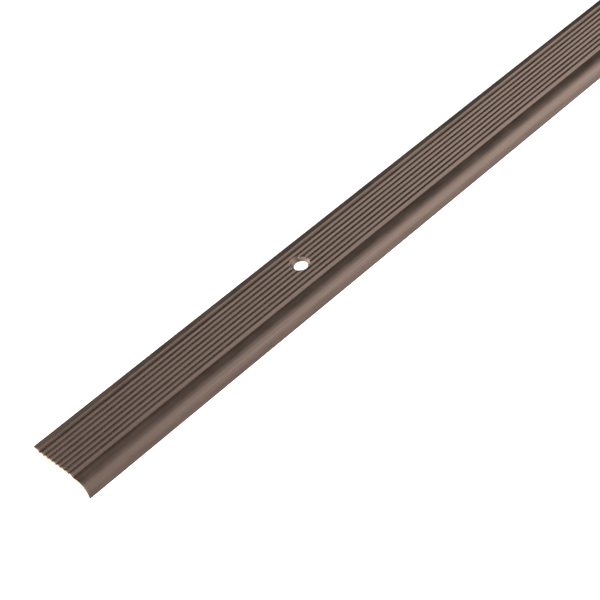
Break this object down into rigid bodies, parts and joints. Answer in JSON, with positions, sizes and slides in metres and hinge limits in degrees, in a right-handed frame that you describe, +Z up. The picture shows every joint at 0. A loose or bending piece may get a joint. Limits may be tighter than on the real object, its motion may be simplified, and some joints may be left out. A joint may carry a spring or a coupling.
{
  "type": "stair edging strip",
  "caption": "Thin ribbed metal strip in dark bronze with a rounded nose that hooks over a tread's front edge, held by countersunk screws.",
  "frame": {"origin": "at mid-length on the tread's surface, in the middle of the flat land on the underside just behind the nose", "axes": "+X along the strip, +Y to the back of the tread and away from the nose, +Z up from the tread"},
  "size_m": [0.9144, 0.0286, 0.021],
  "materials": {
    "bronze_anodised": "satin dark bronze anodised aluminium, drawn lengthwise",
    "bronze_screw": "dark bronze coated steel"
  },
  "bodies": {
    "root": {"edging_strip": "bronze_anodised", "screw_2": "bronze_screw", "screw_3": "bronze_screw", "screw_4": "bronze_screw"}
  },
  "joints": []
}
